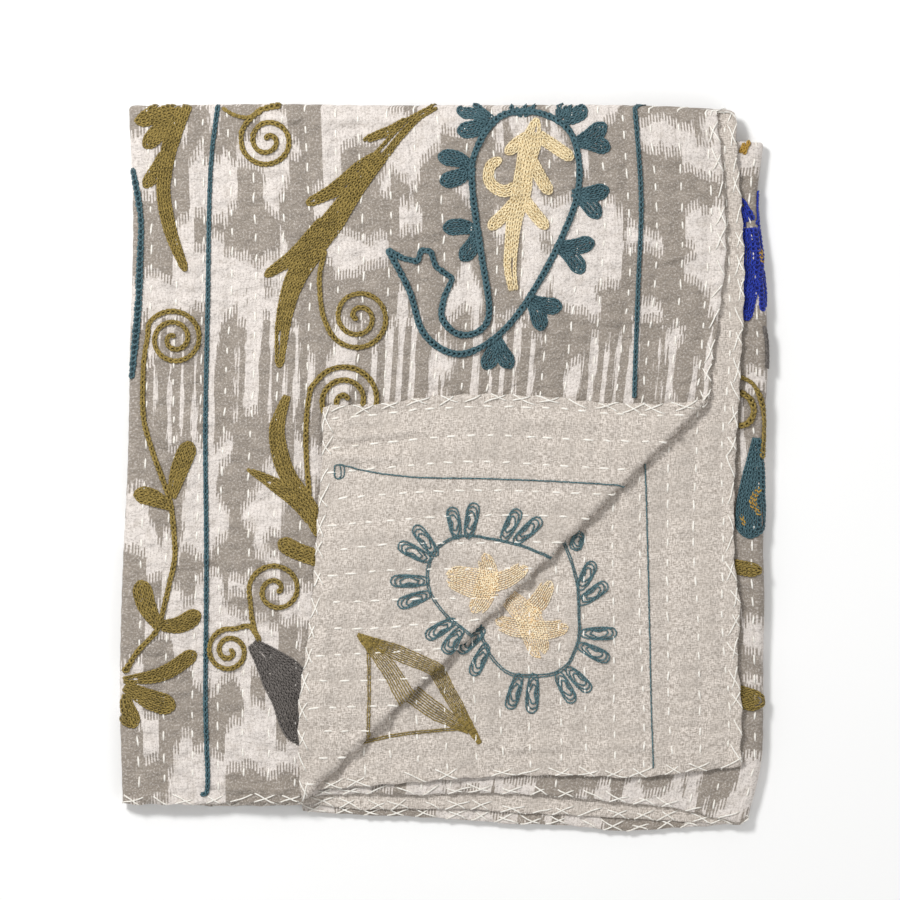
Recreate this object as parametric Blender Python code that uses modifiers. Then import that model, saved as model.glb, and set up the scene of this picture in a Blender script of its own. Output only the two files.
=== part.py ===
"""Quilted throw blanket, folded and lying flat, with one corner of its top layer turned back.

One sheet of quilted cotton is folded in half, so that its fold lies along the upper edge (+Y), and the
double cloth is then folded in three: under at the left side, and back under at the right side. The
lower right corner of the top layer is rolled back over it along a diagonal.

Metres, +Z up. The origin is the middle of the footprint, on the surface that the throw lies on.
"""

import math
from collections import namedtuple

import bmesh
import bpy
from mathutils import Vector

MM = 0.001

# The sheet and the air between its layers.
CLOTH = 1.8 * MM
PITCH_AT_FOLDS = 5.0 * MM
PITCH_AT_HEMS = 3.9 * MM
PITCH_CHANGE_Y = (-0.34, -0.12)
RIPPLE = 0.26 * MM
RIPPLE_WAVES = ((0.31, 0.42, 0.2), (0.19, -0.27, 1.7), (-0.47, 0.16, 3.1))

# The third part ends under the others, which sag to the surface beyond it.
SAG_LEVELS = 2
SAG_X = (-0.225, -0.142)

# The first part reaches past the upper edge of the others on the right, and droops over it.
OVERHANG_DROOP = 9.0 * MM
OVERHANG_Y = (-6 * MM, 46 * MM)
OVERHANG_FROM_LEVEL = 3.5

# The corner that is turned back: the two ends of its rolled edge, as seen from above.
ROLL_RIGHT_END = Vector((243 * MM, 57 * MM))
ROLL_LEFT_END = Vector((-132 * MM, -313 * MM))
ROLL_RADIUS = 3.0 * MM
FLAP_LIFT = 2.7 * MM
FLAP_SETTLES_OVER = 70 * MM

# Places of the side edges in mm, evenly spaced from the upper edge to the lower one.
LEFT_FOLD_X = (-300, -296, -299, -301, -306, -309, -306)
RIGHT_FOLD_X = (304, 298, 303.5, 307, 308, 305, 307, 304, 305, 304, 304, 302, 289)
FRONT_HEM_X = (259, 266, 259, 248, 254, 252, 240)
BACK_HEM_X = (278, 284, 285, 279, 278, 281, 284)
FRONT_END_X = (-134, -133, -135, -134)
BACK_END_X = (-116, -115, -117, -116)

# Places of the upper and lower edges in mm, evenly spaced from left to right.
Layer = namedtuple("Layer", "level left_x right_x top_y hem_y")
TOP_OF_FIRST = (345, 346, 345, 345, 345, 345, 341)
TOP_OF_SECOND = (344, 339, 333, 328, 322, 316, 310)
TOP_OF_THIRD = (321, 319, 317, 315, 312, 310)
LAYERS = {
    ("front", 0): Layer(5, LEFT_FOLD_X, FRONT_HEM_X, TOP_OF_FIRST, (-321, -320, -320, -321, -310, -306, -302)),
    ("back", 0): Layer(4, LEFT_FOLD_X, BACK_HEM_X, TOP_OF_FIRST, (-313, -308, -303, -296, -294, -292, -283)),
    ("back", 1): Layer(3, LEFT_FOLD_X, RIGHT_FOLD_X, TOP_OF_SECOND, (-313, -312, -311, -311, -312, -320, -336)),
    ("front", 1): Layer(2, LEFT_FOLD_X, RIGHT_FOLD_X, TOP_OF_SECOND, (-321, -322, -323, -326, -329, -334, -339)),
    ("front", 2): Layer(1, FRONT_END_X, RIGHT_FOLD_X, TOP_OF_THIRD, (-328, -333, -336, -341, -346, -339)),
    ("back", 2): Layer(0, BACK_END_X, RIGHT_FOLD_X, TOP_OF_THIRD, (-321, -326, -329, -335, -339, -336)),
}

# Steps of the mesh across each part, round each fold and along each half of the sheet.
PART_STEPS = (15, 14, 9)
FOLD_STEPS = 6
LENGTH_STEPS = 15
ROLL_STEPS = 5

# What counts as the top layer when its corner is cut and rolled.
TOP_FROM_LEVEL = 4.5
TOP_REACH_X = 0.28
CUT_SNAP = 0.5 * MM

LINEN_GREY = (0.50, 0.45, 0.40, 1.0)


def along(values, share):
    """Smooth curve through evenly spaced values in mm, read at a share of its length, in metres."""
    place = min(max(share, 0.0), 1.0) * (len(values) - 1)
    first = min(int(place), len(values) - 2)
    f = place - first
    a, b = values[first], values[first + 1]
    before = values[first - 1] if first else 2 * a - b
    after = values[first + 2] if first + 2 < len(values) else 2 * b - a
    slope_a, slope_b = (b - before) / 2, (after - a) / 2
    rise = (2 * a - 2 * b + slope_a + slope_b) * f**3 + (3 * b - 3 * a - 2 * slope_a - slope_b) * f**2
    return (rise + slope_a * f + a) * MM


def ease(value, low, high):
    """0 below low, 1 above high, and a soft step between them."""
    f = min(max((value - low) / (high - low), 0.0), 1.0)
    return f * f * (3 - 2 * f)


def pitch(x, y):
    """Height from one layer to the next."""
    turns = ((x / long_x + y / long_y, shift) for long_x, long_y, shift in RIPPLE_WAVES)
    wave = sum(math.sin(2 * math.pi * turn + shift) for turn, shift in turns)
    loft = PITCH_AT_HEMS + (PITCH_AT_FOLDS - PITCH_AT_HEMS) * ease(y, *PITCH_CHANGE_Y)
    return loft + RIPPLE * wave


def height(level, x, y):
    """Height of a layer's middle surface above the surface that the throw lies on."""
    sag = SAG_LEVELS * (1 - ease(x, *SAG_X)) if level >= SAG_LEVELS else 0.0
    level_height = CLOTH / 2 + (level - sag) * pitch(x, y)
    if level < OVERHANG_FROM_LEVEL:
        return level_height
    left, right = LEFT_FOLD_X[0] * MM, RIGHT_FOLD_X[0] * MM
    past_edge = y - along(TOP_OF_SECOND, (x - left) / (right - left))
    return level_height - OVERHANG_DROOP * ease(past_edge, *OVERHANG_Y)


def fold_reach(y, edge_x):
    """From the outer surface of a side fold to the line that the fold turns round."""
    return CLOTH / 2 + 1.5 * pitch(edge_x, y)


def in_part(ply, part, across, down):
    """Point of a flat part: across from left to right and down from the half fold to the hem, 0 to 1."""
    layer = LAYERS[ply, part]
    y_top = along(layer.top_y, across) - CLOTH / 2 - PITCH_AT_FOLDS / 2
    y = y_top + (along(layer.hem_y, across) - y_top) * down
    left, right = along(layer.left_x, down), along(layer.right_x, down)
    if layer.left_x is LEFT_FOLD_X:
        left += fold_reach(y, left)
    if layer.right_x is RIGHT_FOLD_X:
        right -= fold_reach(y, right)
    x = left + (right - left) * across
    return Vector((x, y, height(layer.level, x, y)))


def in_fold(ply, fold, turn, down):
    """Point of a side fold: turn goes from 0 on the upper part to 1 on the lower one."""
    across = 0.0 if fold == 0 else 1.0
    upper = in_part(ply, fold, across, down)
    lower = in_part(ply, fold + 1, across, down)
    radius = (upper.z - lower.z) / 2
    angle = math.pi * turn
    outward = -1 if fold == 0 else 1
    middle = upper.lerp(lower, turn)
    x = middle.x + outward * radius * math.sin(angle)
    z = (upper.z + lower.z) / 2 + radius * math.cos(angle)
    return Vector((x, middle.y, z))


def columns():
    """The sheet's stations across its width, from the free side hem to the hidden end."""
    first, second, third = PART_STEPS
    turns = [i / FOLD_STEPS for i in range(1, FOLD_STEPS)]
    yield from ((in_part, 0, 1 - i / first) for i in range(first + 1))
    yield from ((in_fold, 0, turn) for turn in turns)
    yield from ((in_part, 1, i / second) for i in range(second + 1))
    yield from ((in_fold, 1, turn) for turn in turns)
    yield from ((in_part, 2, 1 - i / third) for i in range(third + 1))


def column_points(place, number, share):
    """One column from the front's hem, up and over the half fold, to the back's hem."""
    downs = [i / LENGTH_STEPS for i in range(LENGTH_STEPS + 1)]
    front = [place("front", number, share, down) for down in downs]
    back = [place("back", number, share, down) for down in downs]
    middle, reach = (front[0] + back[0]) / 2, (front[0] - back[0]) / 2
    round_fold = []
    for i in range(1, FOLD_STEPS):
        angle = math.pi * i / FOLD_STEPS
        out = Vector((0, PITCH_AT_FOLDS / 2 * math.sin(angle), 0))
        round_fold.append(middle + reach * math.cos(angle) + out)
    return front[::-1] + round_fold + back


def folded_sheet():
    """The folded sheet as an open grid, its corner not yet turned back."""
    stations = [column_points(*column) for column in columns()]
    across, along_it = len(stations), len(stations[0])
    bm = bmesh.new()
    grid = bmesh.ops.create_grid(bm, x_segments=across - 1, y_segments=along_it - 1, size=0.5)
    for vert in grid["verts"]:
        column = round((vert.co.x + 0.5) * (across - 1))
        row = round((vert.co.y + 0.5) * (along_it - 1))
        vert.co = stations[column][row]
    return bm


def past_roll(point):
    """How far a point of the top layer lies beyond the line where the roll begins."""
    course = (ROLL_LEFT_END - ROLL_RIGHT_END).normalized()
    outward = Vector((-course.y, course.x))
    start = ROLL_RIGHT_END - outward * ROLL_RADIUS
    return (Vector((point.x, point.y)) - start).dot(outward), outward, start


def top_layer(bm):
    """The verts, edges and faces of the uppermost layer near the corner."""
    near = (v for v in bm.verts if abs(v.co.x) < TOP_REACH_X)
    verts = {v for v in near if v.co.z > height(TOP_FROM_LEVEL, v.co.x, v.co.y)}
    faces = [f for f in bm.faces if all(v in verts for v in f.verts)]
    edges = {e for f in faces for e in f.edges}
    return verts, list(verts) + list(edges) + faces


def roll_corner(bm):
    """Turns the lower right corner of the top layer back over it, round a soft roll."""
    _, outward, start = past_roll(Vector((0, 0)))
    round_it = math.pi * ROLL_RADIUS
    for i in range(ROLL_STEPS + 1):
        cut = start + outward * round_it * i / ROLL_STEPS
        bmesh.ops.bisect_plane(
            bm, geom=top_layer(bm)[1], dist=CUT_SNAP, plane_co=cut.to_3d(), plane_no=outward.to_3d()
        )
    for vert in top_layer(bm)[0]:
        beyond = past_roll(vert.co)[0]
        if beyond <= 0:
            continue
        angle = min(beyond / ROLL_RADIUS, math.pi)
        lift = ROLL_RADIUS * (1 - math.cos(angle))
        step = ROLL_RADIUS * math.sin(angle) - beyond
        if beyond > round_it:
            over = beyond - round_it
            step -= over
            lift = FLAP_LIFT + (lift - FLAP_LIFT) * math.exp(-over / FLAP_SETTLES_OVER)
        moved = Vector((vert.co.x, vert.co.y)) + outward * step
        vert.co = (moved.x, moved.y, height(5, moved.x, moved.y) + lift)


def cloth_material():
    material = bpy.data.materials.new("quilted_cotton")
    material.use_nodes = True
    shader = material.node_tree.nodes["Principled BSDF"]
    shader.inputs["Base Color"].default_value = LINEN_GREY
    shader.inputs["Roughness"].default_value = 0.9
    shader.inputs["Metallic"].default_value = 0.0
    return material


def make_cloth(collection):
    bm = folded_sheet()
    roll_corner(bm)
    bmesh.ops.triangulate(bm, faces=bm.faces[:])
    mesh = bpy.data.meshes.new("quilted_cloth")
    bm.to_mesh(mesh)
    bm.free()
    mesh.materials.append(cloth_material())
    mesh.shade_smooth()
    cloth = bpy.data.objects.new("quilted_cloth", mesh)
    collection.objects.link(cloth)
    solid = cloth.modifiers.new("thickness", "SOLIDIFY")
    solid.thickness = CLOTH
    solid.offset = 0.0
    solid.use_even_offset = True
    return cloth


def main():
    for old in list(bpy.data.objects):
        bpy.data.objects.remove(old, do_unlink=True)
    collection = bpy.data.collections.new("throw_blanket")
    bpy.context.scene.collection.children.link(collection)
    make_cloth(collection)


main()
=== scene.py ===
"""Looks of the folded quilted throw: printed face, plain back, quilting, hem stitches and embroidery."""

import math
from collections import namedtuple

import bpy
import numpy as np
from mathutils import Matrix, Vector


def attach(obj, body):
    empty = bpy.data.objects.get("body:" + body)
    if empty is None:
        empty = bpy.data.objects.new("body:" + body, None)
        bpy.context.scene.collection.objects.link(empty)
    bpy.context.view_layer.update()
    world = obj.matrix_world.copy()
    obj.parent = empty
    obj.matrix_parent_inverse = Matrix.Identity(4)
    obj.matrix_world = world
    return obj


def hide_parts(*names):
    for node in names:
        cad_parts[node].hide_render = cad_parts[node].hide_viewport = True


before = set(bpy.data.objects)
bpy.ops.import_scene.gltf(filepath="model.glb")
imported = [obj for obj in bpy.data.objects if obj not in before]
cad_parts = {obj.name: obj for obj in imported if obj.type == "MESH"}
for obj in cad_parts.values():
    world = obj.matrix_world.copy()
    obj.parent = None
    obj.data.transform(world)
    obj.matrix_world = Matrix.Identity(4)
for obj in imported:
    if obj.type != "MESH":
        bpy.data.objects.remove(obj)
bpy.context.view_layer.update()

MM = 0.001
NODE = "quilted_cloth"

# The fold of the sheet, as in the solid.
CLOTH = 1.8 * MM
PITCH_AT_FOLDS = 5.0 * MM
PITCH_AT_HEMS = 3.9 * MM
PITCH_CHANGE_Y = (-0.34, -0.12)
RIPPLE = 0.26 * MM
RIPPLE_WAVES = ((0.31, 0.42, 0.2), (0.19, -0.27, 1.7), (-0.47, 0.16, 3.1))
SAG_LEVELS = 2
SAG_X = (-0.225, -0.142)
OVERHANG_DROOP = 9.0 * MM
OVERHANG_Y = (-6 * MM, 46 * MM)
OVERHANG_FROM_LEVEL = 3.5
ROLL_RIGHT_END = np.array((243 * MM, 57 * MM))
ROLL_LEFT_END = np.array((-132 * MM, -313 * MM))
ROLL_RADIUS = 3.0 * MM
FLAP_LIFT = 3.4 * MM
FLAP_SETTLES_OVER = 70 * MM
FLAP_LEFT_X, FLAP_TOP_Y, FLAP_RIM = -0.122, 0.058, 0.004

LEFT_FOLD_X = (-300, -296, -299, -301, -306, -309, -306)
RIGHT_FOLD_X = (304, 298, 303.5, 307, 308, 305, 307, 304, 305, 304, 304, 302, 289)
FRONT_HEM_X = (259, 266, 259, 248, 254, 252, 240)
BACK_HEM_X = (278, 284, 285, 279, 278, 281, 284)
FRONT_END_X = (-134, -133, -135, -134)
BACK_END_X = (-116, -115, -117, -116)

Layer = namedtuple("Layer", "level left_x right_x top_y hem_y")
TOP_OF_FIRST = (345, 346, 345, 345, 345, 345, 341)
TOP_OF_SECOND = (344, 339, 333, 328, 322, 316, 310)
TOP_OF_THIRD = (321, 319, 317, 315, 312, 310)
LAYERS = {
    ("front", 0): Layer(5, LEFT_FOLD_X, FRONT_HEM_X, TOP_OF_FIRST,
                        (-321, -320, -320, -321, -310, -306, -302)),
    ("back", 0): Layer(4, LEFT_FOLD_X, BACK_HEM_X, TOP_OF_FIRST,
                       (-313, -308, -303, -296, -294, -292, -283)),
    ("back", 1): Layer(3, LEFT_FOLD_X, RIGHT_FOLD_X, TOP_OF_SECOND,
                       (-313, -312, -311, -311, -312, -320, -336)),
    ("front", 1): Layer(2, LEFT_FOLD_X, RIGHT_FOLD_X, TOP_OF_SECOND,
                        (-321, -322, -323, -326, -329, -334, -339)),
    ("front", 2): Layer(1, FRONT_END_X, RIGHT_FOLD_X, TOP_OF_THIRD,
                        (-328, -333, -336, -341, -346, -339)),
    ("back", 2): Layer(0, BACK_END_X, RIGHT_FOLD_X, TOP_OF_THIRD,
                       (-321, -326, -329, -335, -339, -336)),
}

# The flat sheet: a runs across it from the free side hem, b along it, 0 at the half fold, front positive.
SIDE_FOLD = math.pi * PITCH_AT_FOLDS
HALF_FOLD = math.pi * PITCH_AT_FOLDS / 4
PART_LENGTH = 0.655
PART_WIDTHS = (0.560, 0.590, 0.420)
SECTIONS = (
    ("part", 0, PART_WIDTHS[0]),
    ("fold", 0, SIDE_FOLD),
    ("part", 1, PART_WIDTHS[1]),
    ("fold", 1, SIDE_FOLD),
    ("part", 2, PART_WIDTHS[2]),
)
STARTS = np.concatenate([[0.0], np.cumsum([s[2] for s in SECTIONS])])
WIDTH = float(STARTS[-1])
HALF_LENGTH = HALF_FOLD + PART_LENGTH

# Quilting and hems.
ROW_PITCH = 25.6 * MM
ROW_WANDER = 2.6 * MM
STITCH_PITCH = 18.6 * MM
STITCH_LENGTH = 8.6 * MM
PUCKER = 3.6 * MM
HEM_PITCH = 25.5 * MM
HEM_ARM = 9.4 * MM
HEM_DEPTH = 8.2 * MM
HEM_WAVE = 0.7 * MM
HEM_WANDER = 2.2 * MM
HEM_REACH = 20 * MM

# Creases: both ends in mm seen from above, a height by which CREASE_HIGH (in mm) is
# multiplied, and the half width in mm.
CREASE_HIGH = 2.3
CREASE_BEND = 3.0 * MM
Crease = namedtuple("Crease", "start end high wide")
TOP_CREASES = (
    Crease((120, 139), (252, 141), 1.5, 2.6), Crease((44, 175), (124, 172), 1.1, 2.4),
    Crease((-235, -303), (-146, -306), 1.6, 3.2), Crease((-300, -262), (-240, -286), 1.3, 4.5),
    Crease((-298, 40), (-236, 18), 1.4, 5.0), Crease((-296, 210), (-250, 168), 1.3, 5.0),
    Crease((-190, 330), (-20, 334), 1.2, 4.0), Crease((190, 300), (258, 250), 1.3, 4.0),
    Crease((196, 190), (250, 210), 1.2, 3.6), Crease((-220, -40), (-150, -92), 1.1, 4.5),
    Crease((-215, 250), (-150, 262), 1.0, 4.0), Crease((196, 110), (246, 84), 1.6, 4.0),
    Crease((-60, 90), (30, 82), 1.1, 4.0), Crease((-210, -232), (-150, -206), 1.2, 4.0),
)
FLAP_CREASES = (
    Crease((-104, 24), (-20, 40), 1.7, 3.4), Crease((-112, 6), (-34, 14), 1.3, 3.0),
    Crease((-100, 40), (-64, 50), 1.2, 3.0), Crease((-114, -100), (-112, -290), 1.2, 4.0),
    Crease((60, 40), (180, 46), 1.1, 4.5), Crease((-96, -280), (-100, -210), 1.0, 4.0),
)
SECOND_CREASES = (
    Crease((215, -60), (272, -66), 1.2, 4.0), Crease((150, -262), (262, -276), 1.2, 4.0),
    Crease((236, -170), (240, -250), 1.0, 4.5), Crease((60, -272), (120, -262), 1.1, 4.0),
)


def along(values, share):
    """Smooth curve through evenly spaced values in mm, read at shares of its length, in metres."""
    v = np.asarray(values, float) * MM
    place_on = np.clip(share, 0, 1) * (len(v) - 1)
    first = np.minimum(place_on.astype(int), len(v) - 2)
    f = place_on - first
    padded = np.concatenate([[2 * v[0] - v[1]], v, [2 * v[-1] - v[-2]]])
    before, a, b, after = (padded[first + i] for i in range(4))
    slope_a, slope_b = (b - before) / 2, (after - a) / 2
    rise = (2 * a - 2 * b + slope_a + slope_b) * f**3 + (3 * b - 3 * a - 2 * slope_a - slope_b) * f**2
    return rise + slope_a * f + a


def ease(value, low, high):
    """0 below low, 1 above high, and a soft step between them."""
    f = np.clip((value - low) / (high - low), 0, 1)
    return f * f * (3 - 2 * f)


def pitch(x, y):
    """Height from one layer to the next."""
    wave = 0.0
    for long_x, long_y, shift in RIPPLE_WAVES:
        wave = wave + np.sin(2 * math.pi * (x / long_x + y / long_y) + shift)
    return PITCH_AT_HEMS + (PITCH_AT_FOLDS - PITCH_AT_HEMS) * ease(y, *PITCH_CHANGE_Y) + RIPPLE * wave


def height(level, x, y):
    """Height of a layer's middle surface above the surface that the throw lies on."""
    sag = SAG_LEVELS * (1 - ease(x, *SAG_X)) if level >= SAG_LEVELS else 0.0
    level_height = CLOTH / 2 + (level - sag) * pitch(x, y)
    if level < OVERHANG_FROM_LEVEL:
        return level_height
    left, right = LEFT_FOLD_X[0] * MM, RIGHT_FOLD_X[0] * MM
    past_edge = y - along(TOP_OF_SECOND, (x - left) / (right - left))
    return level_height - OVERHANG_DROOP * ease(past_edge, *OVERHANG_Y)


def in_part(ply, part, across, down):
    """Points of a flat part: across from left to right and down from the half fold to the hem, 0 to 1."""
    layer = LAYERS[ply, part]
    y_top = along(layer.top_y, across) - CLOTH / 2 - PITCH_AT_FOLDS / 2
    y = y_top + (along(layer.hem_y, across) - y_top) * down
    left, right = along(layer.left_x, down), along(layer.right_x, down)
    if layer.left_x is LEFT_FOLD_X:
        left = left + CLOTH / 2 + 1.5 * pitch(left, y)
    if layer.right_x is RIGHT_FOLD_X:
        right = right - CLOTH / 2 - 1.5 * pitch(right, y)
    x = left + (right - left) * across
    return np.stack([x, y, height(layer.level, x, y)], -1)


def in_fold(ply, fold, turn, down):
    """Points of a side fold: turn goes from 0 on the upper part to 1 on the lower one."""
    across = np.full_like(down, float(fold))
    upper, lower = in_part(ply, fold, across, down), in_part(ply, fold + 1, across, down)
    radius = (upper[..., 2] - lower[..., 2]) / 2
    angle = math.pi * turn
    outward = -1 if fold == 0 else 1
    middle = upper + (lower - upper) * turn[..., None]
    x = middle[..., 0] + outward * radius * np.sin(angle)
    z = (upper[..., 2] + lower[..., 2]) / 2 + radius * np.cos(angle)
    return np.stack([x, middle[..., 1], z], -1)


def column(ply, a, down):
    """Points of one ply, before its corner is turned back."""
    out = np.zeros(a.shape + (3,))
    section = np.clip(np.searchsorted(STARTS, a, side="right") - 1, 0, len(SECTIONS) - 1)
    for index, (kind, number, length) in enumerate(SECTIONS):
        here = section == index
        if not here.any():
            continue
        share = np.clip((a[here] - STARTS[index]) / length, 0, 1)
        if kind == "fold":
            out[here] = in_fold(ply, number, share, down[here])
        else:
            out[here] = in_part(ply, number, share if number == 1 else 1 - share, down[here])
    return out


ROLL_COURSE = (ROLL_LEFT_END - ROLL_RIGHT_END) / np.linalg.norm(ROLL_LEFT_END - ROLL_RIGHT_END)
ROLL_OUTWARD = np.array((-ROLL_COURSE[1], ROLL_COURSE[0]))
ROLL_START = ROLL_RIGHT_END - ROLL_OUTWARD * ROLL_RADIUS
ROUND_ROLL = math.pi * ROLL_RADIUS


def past_roll(points):
    """How far points seen from above lie beyond the line where the roll begins."""
    return (points[..., :2] - ROLL_START) @ ROLL_OUTWARD


def rolled(points):
    """The top layer with its corner turned back."""
    beyond = np.maximum(past_roll(points), 0)
    angle = np.minimum(beyond / ROLL_RADIUS, math.pi)
    over = np.maximum(beyond - ROUND_ROLL, 0)
    step = ROLL_RADIUS * np.sin(angle) - beyond - over
    lift = ROLL_RADIUS * (1 - np.cos(angle))
    settled = FLAP_LIFT + (lift - FLAP_LIFT) * np.exp(-over / FLAP_SETTLES_OVER)
    lift = np.where(over > 0, settled, lift)
    moved = points[..., :2] + ROLL_OUTWARD * step[..., None]
    z = height(5, moved[..., 0], moved[..., 1]) + lift
    out = np.concatenate([moved, z[..., None]], -1)
    return np.where((beyond > 0)[..., None], out, points)


def place(a, b):
    """Middle surface of the folded sheet at flat coordinates."""
    a, b = np.broadcast_arrays(np.asarray(a, float), np.asarray(b, float))
    down = np.clip((np.abs(b) - HALF_FOLD) / PART_LENGTH, 0, 1)
    front, back = np.zeros(a.shape + (3,)), np.zeros(a.shape + (3,))
    of_front, of_back = b > -HALF_FOLD, b < HALF_FOLD
    front[of_front] = column("front", a[of_front], down[of_front])
    back[of_back] = column("back", a[of_back], down[of_back])
    turned = (a < STARTS[1]) & (b > HALF_FOLD)
    front[turned] = rolled(front[turned])
    angle = math.pi / 2 * (1 - np.clip(b / HALF_FOLD, -1, 1))
    round_fold = (front + back) / 2 + (front - back) / 2 * np.cos(angle)[..., None]
    round_fold[..., 1] += PITCH_AT_FOLDS / 2 * np.sin(angle)
    flat = np.where((b > 0)[..., None], front, back)
    return np.where((of_front & of_back)[..., None], round_fold, flat)


def unit(vectors):
    return vectors / np.maximum(np.linalg.norm(vectors, axis=-1, keepdims=True), 1e-12)


def slopes(a, b, step=0.7 * MM):
    """Unit directions along a and b, and the normal on the printed side."""
    along_a = unit(place(a + step, b) - place(a - step, b))
    along_b = unit(place(a, b + step) - place(a, b - step))
    return along_a, along_b, unit(np.cross(along_a, along_b))


def soft_noise(a, b, cell, seed):
    """Smooth values from 0 to 1 that change over about one cell."""
    rows, columns = 96, 97
    grid = np.random.default_rng(seed).random((rows, columns))
    u, v = np.asarray(a) / cell + 500.0, np.asarray(b) / cell + 500.0
    i, j = np.floor(u).astype(int), np.floor(v).astype(int)
    f, g = u - i, v - j
    f, g = f * f * (3 - 2 * f), g * g * (3 - 2 * g)
    low = grid[i % rows, j % columns] * (1 - f) + grid[(i + 1) % rows, j % columns] * f
    high = grid[i % rows, (j + 1) % columns] * (1 - f) + grid[(i + 1) % rows, (j + 1) % columns] * f
    return low * (1 - g) + high * g


def row_wander(row, b):
    return ROW_WANDER * (2 * soft_noise(row * 7.3, b, 0.085, 11) - 1)


def quilting(a, b):
    """Puckers of the quilt: low in the stitched rows, gathered and uneven between them."""
    row = np.round(a / ROW_PITCH - 0.5)
    wandered = a - row_wander(row, b)
    between = np.abs(np.sin(math.pi * (wandered / ROW_PITCH - 0.5))) ** 0.8
    phase = 6.28 * soft_noise(np.floor(wandered / ROW_PITCH - 0.5) * 3.1, b, 0.11, 12)
    gathers = 0.5 + 0.5 * np.sin(2 * math.pi * b / STITCH_PITCH + 2.2 * phase)
    broad = soft_noise(a, b, 0.034, 13)
    fine = soft_noise(a * 0.8, b * 1.6, 0.012, 14)
    return between * (0.2 + 0.5 * gathers) + 0.3 * broad + 0.28 * fine - 0.1


def creased(points, creases):
    """Height of soft ridges, in metres."""
    total = np.zeros(points.shape[:-1])
    for crease in creases:
        start, end = np.array(crease.start) * MM, np.array(crease.end) * MM
        run = end - start
        share = ((points[..., :2] - start) @ run) / (run @ run)
        bend = CREASE_BEND * np.sin(4.0 * share + crease.high)
        side = np.array((-run[1], run[0])) / np.linalg.norm(run)
        off = (points[..., :2] - start) @ side - bend
        taper = ease(share, -0.05, 0.25) * (1 - ease(share, 0.7, 1.05))
        total += CREASE_HIGH * crease.high * MM * taper * np.exp(-(off / (crease.wide * MM)) ** 2)
    return total


def flap_cover(points):
    """1 where the top layer lies under the turned corner, soft at its rim."""
    x, y = points[..., 0], points[..., 1]
    inside = np.minimum(np.minimum(x - FLAP_LEFT_X, FLAP_TOP_Y - y), -past_roll(points) - FLAP_RIM)
    return ease(inside, -FLAP_RIM, 0.010)


def rise(a, b, points, normal):
    """Displacement of the sheet along its printed side, from its puckers and creases."""
    on_part_0 = 1 - ease(a, STARTS[1] - 0.012, STARTS[1] - 0.002)
    strength = on_part_0 * ease(np.abs(b), HALF_FOLD, HALF_FOLD + 0.012)
    facing = np.clip(normal[..., 2] * 1.6, -1, 1)
    top = (b > 0) & (normal[..., 2] > 0) & (a < STARTS[1])
    flap = (b > 0) & (normal[..., 2] < 0) & (a < STARTS[1])
    second = (b < 0) & (a < STARTS[1])
    under_top = (1 - ease(past_roll(points), -0.02, 0.0)) * (1 - ease(points[..., 0], 0.232, 0.250))
    covered = np.where(top, 0.75 * flap_cover(points), np.where(second, 0.7 * under_top, 0.0))
    ridges = np.zeros(a.shape)
    for here, creases in ((top, TOP_CREASES), (flap, FLAP_CREASES), (second, SECOND_CREASES)):
        if here.any():
            ridges[here] = creased(points[here], creases)
    puckers = PUCKER * quilting(a, b)
    upward = (puckers + ridges) * strength * (1 - covered) * facing
    return upward + 0.2 * puckers * (1 - strength)


def hem_wave(s, seed):
    """How far a hem runs out and in along its length."""
    pulled = np.cos(2 * math.pi * s / HEM_PITCH + 3.0 * soft_noise(s, seed, 0.2, 33))
    return HEM_WAVE * pulled + HEM_WANDER * (2 * soft_noise(s, seed * 3.7, 0.05, 34) - 1)


def surface(a, b, side, lift=0.0):
    """Points on one side of the quilt: side is 1 for the printed face and -1 for the plain back."""
    a, b = np.broadcast_arrays(np.asarray(a, float), np.asarray(b, float))
    points = place(a, b)
    along_a, along_b, normal = slopes(a, b)
    row = np.round(a / ROW_PITCH - 0.5)
    to_row = np.abs(a - row_wander(row, b) - (row + 0.5) * ROW_PITCH)
    loft = CLOTH / 2 * (0.68 + 0.38 * ease(to_row, 0, 0.007))
    offset = rise(a, b, points, normal) + side * (loft + lift)
    moved = points + normal * offset[..., None]
    hems = ((a, b, 1, -along_a), (WIDTH - a, b, 2, along_a), (HALF_LENGTH - b, a, 3, along_b),
            (HALF_LENGTH + b, a, 4, -along_b))
    for distance, s, seed, outward in hems:
        near = 1 - ease(distance, 0, HEM_REACH)
        moved = moved + outward * (near * hem_wave(s + 1.0, seed))[..., None]
    return moved, normal


def stations(*spans):
    """Places along the sheet: spans of (start, end, step)."""
    values = [np.linspace(s, e, max(2, int(round((e - s) / step)) + 1)) for s, e, step in spans]
    return np.unique(np.round(np.concatenate(values), 7))


def quad_piece(name, verts, quads, material):
    """A smooth piece from arrays of points and of four-sided faces."""
    verts, quads = np.asarray(verts, np.float32).reshape(-1, 3), np.asarray(quads, np.int32).reshape(-1, 4)
    mesh = bpy.data.meshes.new(name)
    mesh.vertices.add(len(verts))
    mesh.vertices.foreach_set("co", verts.ravel())
    mesh.loops.add(quads.size)
    mesh.loops.foreach_set("vertex_index", quads.ravel())
    mesh.polygons.add(len(quads))
    mesh.polygons.foreach_set("loop_start", np.arange(0, quads.size, 4, dtype=np.int32))
    mesh.update(calc_edges=True)
    mesh.validate()
    mesh.materials.append(material)
    mesh.shade_smooth()
    piece = bpy.data.objects.new(name, mesh)
    bpy.context.scene.collection.objects.link(piece)
    return piece


def grid_faces(rows, columns):
    index = np.arange(rows * columns).reshape(rows, columns)
    corners = (index[:-1, :-1], index[1:, :-1], index[1:, 1:], index[:-1, 1:])
    return np.stack([c.ravel() for c in corners], -1)


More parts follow.
